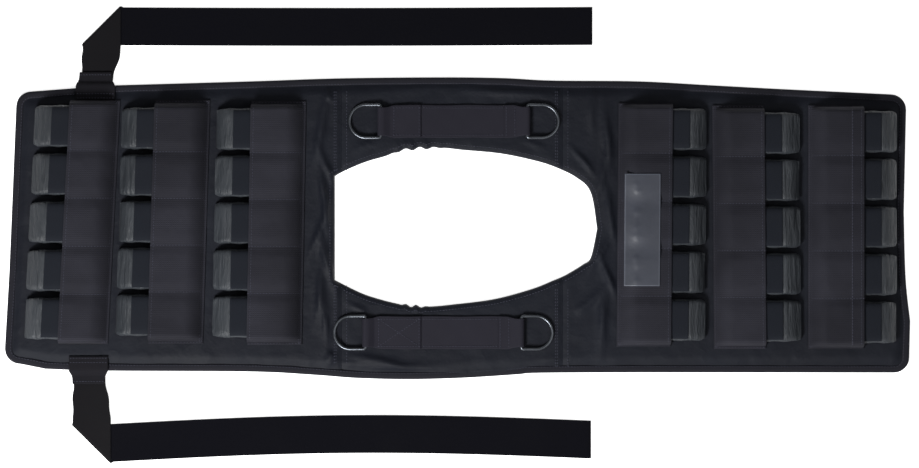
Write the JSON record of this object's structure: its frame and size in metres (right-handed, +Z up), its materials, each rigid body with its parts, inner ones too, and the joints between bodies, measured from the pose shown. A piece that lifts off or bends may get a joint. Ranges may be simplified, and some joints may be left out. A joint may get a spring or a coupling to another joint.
{
  "type": "weighted vest",
  "caption": "Weighted training vest laid flat: padded back and front panels joined by two shoulder bridges round a neck opening, banded pockets of weight pouches, D-rings and waist straps.",
  "frame": {"origin": "on the floor under the middle of the vest and its straps as they lie", "axes": "+X along the vest towards the front panel, +Y across it towards the upper waist strap, +Z up out of the pockets"},
  "size_m": [0.952, 0.4786, 0.0282],
  "materials": {
    "panel_cloth": "fine woven nylon over thin padding, near black with a cool cast",
    "tape": "folded woven binding tape, near black",
    "band_cloth": "matte woven elastic band, charcoal",
    "pouch_cloth": "dark grey nylon with a soft sheen",
    "hook_patch": "dense hook tape, very dark",
    "webbing": "ribbed polypropylene webbing, near black",
    "strap_loop": "brushed loop face, deep black, with a brown-black woven reverse",
    "thread": "dull polyester thread",
    "ring_metal": "black plated steel wire with grey highlights",
    "clear_vinyl": "glossy clear vinyl over dark cloth, unprinted"
  },
  "bodies": {
    "vest": {"left_panel": "panel_cloth", "right_panel": "panel_cloth", "shoulder_upper": "panel_cloth", "shoulder_lower": "panel_cloth", "edge_binding": "tape", "pocket_band_1": "band_cloth", "pocket_band_2": "band_cloth", "pocket_band_3": "band_cloth", "pocket_band_4": "band_cloth", "pocket_band_5": "band_cloth", "pocket_band_6": "band_cloth", "pouch_1_1": "pouch_cloth", "pouch_1_2": "pouch_cloth", "pouch_1_3": "pouch_cloth", "pouch_1_4": "pouch_cloth", "pouch_1_5": "pouch_cloth", "pouch_2_1": "pouch_cloth", "pouch_2_2": "pouch_cloth", "pouch_2_3": "pouch_cloth", "pouch_2_4": "pouch_cloth", "pouch_2_5": "pouch_cloth", "pouch_3_1": "pouch_cloth", "pouch_3_2": "pouch_cloth", "pouch_3_3": "pouch_cloth", "pouch_3_4": "pouch_cloth", "pouch_3_5": "pouch_cloth", "pouch_4_1": "pouch_cloth", "pouch_4_2": "pouch_cloth", "pouch_4_3": "pouch_cloth", "pouch_4_4": "pouch_cloth", "pouch_4_5": "pouch_cloth", "pouch_5_1": "pouch_cloth", "pouch_5_2": "pouch_cloth", "pouch_5_3": "pouch_cloth", "pouch_5_4": "pouch_cloth", "pouch_5_5": "pouch_cloth", "pouch_6_1": "pouch_cloth", "pouch_6_2": "pouch_cloth", "pouch_6_3": "pouch_cloth", "pouch_6_4": "pouch_cloth", "pouch_6_5": "pouch_cloth", "label": "clear_vinyl", "shoulder_webbing_upper": "webbing", "strap_tab_upper": "webbing", "waist_strap_upper": "strap_loop", "shoulder_webbing_lower": "webbing", "strap_tab_lower": "webbing", "waist_strap_lower": "strap_loop"},
    "ring_upper_left": {"d_ring_upper_left": "ring_metal"},
    "ring_upper_right": {"d_ring_upper_right": "ring_metal"},
    "ring_lower_left": {"d_ring_lower_left": "ring_metal"},
    "ring_lower_right": {"d_ring_lower_right": "ring_metal"}
  },
  "joints": [
    {"name": "upper_left_ring_swing", "type": "hinge", "parent": "vest", "child": "ring_upper_left", "pos_m": [-0.0807, 0.1189, 0.0115], "axis": [0, 1, 0], "range_deg": [0, 160]},
    {"name": "upper_right_ring_swing", "type": "hinge", "parent": "vest", "child": "ring_upper_right", "pos_m": [0.0733, 0.1189, 0.0115], "axis": [0, -1, 0], "range_deg": [0, 160]},
    {"name": "lower_left_ring_swing", "type": "hinge", "parent": "vest", "child": "ring_lower_left", "pos_m": [-0.0967, -0.1031, 0.0115], "axis": [0, 1, 0], "range_deg": [0, 160]},
    {"name": "lower_right_ring_swing", "type": "hinge", "parent": "vest", "child": "ring_lower_right", "pos_m": [0.0669, -0.1031, 0.0115], "axis": [0, -1, 0], "range_deg": [0, 160]}
  ]
}
